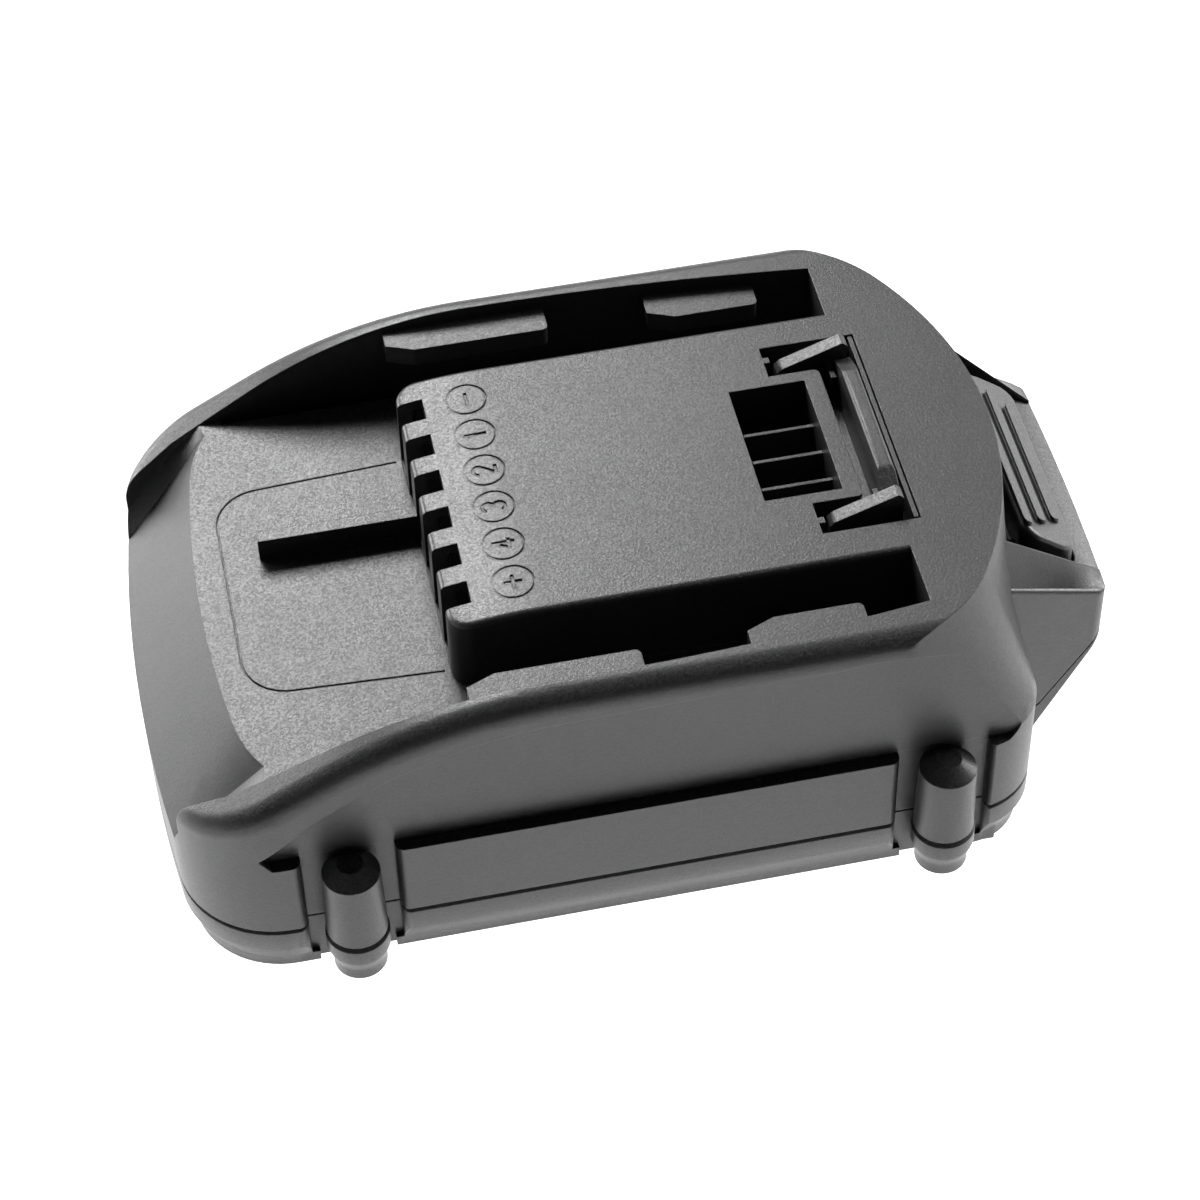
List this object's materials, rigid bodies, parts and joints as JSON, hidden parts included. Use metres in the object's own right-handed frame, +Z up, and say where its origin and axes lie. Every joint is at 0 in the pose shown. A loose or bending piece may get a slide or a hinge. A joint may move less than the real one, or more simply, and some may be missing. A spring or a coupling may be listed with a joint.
{
  "type": "power tool battery",
  "caption": "Slide-on lithium battery pack with two rail channels, slotted terminal block, sprung latch hooks and a rear release button.",
  "frame": {"origin": "on the ground, at the middle of the pack's box", "axes": "+Z up; +X along the pack towards the release button; -X towards the nose that enters the tool"},
  "size_m": [0.1246, 0.0828, 0.046],
  "materials": {
    "black_plastic": "moulded, fine spark-eroded grain on the top faces",
    "screw_steel": "zinc plated",
    "spring_steel": "drawn wire",
    "holder_plastic": "plain moulded",
    "insulating_paper": "fish paper",
    "cell_sleeve": "shrink sleeve",
    "nickel": "nickel strip",
    "contact_copper": "stamped, tin flash",
    "board_green": "solder mask",
    "terminal_plastic": "glass filled",
    "chip_plastic": "moulded packages",
    "foam": "soft foam",
    "label": "blank, satin"
  },
  "bodies": {
    "casing": {"board_passives": "chip_plastic", "board_screws": "screw_steel", "case_screws": "screw_steel", "cell_1": "cell_sleeve", "cell_2": "cell_sleeve", "cell_3": "cell_sleeve", "cell_4": "cell_sleeve", "cell_5": "cell_sleeve", "cell_holder_far": "holder_plastic", "cell_holder_near": "holder_plastic", "cell_washers": "insulating_paper", "circuit_board": "board_green", "contact_1": "contact_copper", "contact_2": "contact_copper", "contact_3": "contact_copper", "contact_4": "contact_copper", "contact_5": "contact_copper", "contact_6": "contact_copper", "controller_chip": "chip_plastic", "foam_pads": "foam", "fuse": "chip_plastic", "insulator_sheet_far": "insulating_paper", "insulator_sheet_near": "insulating_paper", "latch_spring_far": "spring_steel", "latch_spring_near": "spring_steel", "lower_casing": "black_plastic", "minus_tab": "nickel", "nickel_strip_12": "nickel", "nickel_strip_23": "nickel", "nickel_strip_34": "nickel", "nickel_strip_45": "nickel", "plus_tab": "nickel", "power_transistors": "chip_plastic", "rating_label": "label", "terminal_block": "terminal_plastic", "thermistor": "chip_plastic", "upper_casing": "black_plastic"},
    "latch": {"latch_frame": "black_plastic", "release_button": "black_plastic"}
  },
  "joints": [
    {"name": "latch_release", "type": "slide", "parent": "casing", "child": "latch", "axis": [0, 0, -1], "range_m": [0, 0.003], "stiffness_N_per_m": 1200, "springref_m": -0.002, "deforming": ["latch_spring_near", "latch_spring_far"]}
  ]
}
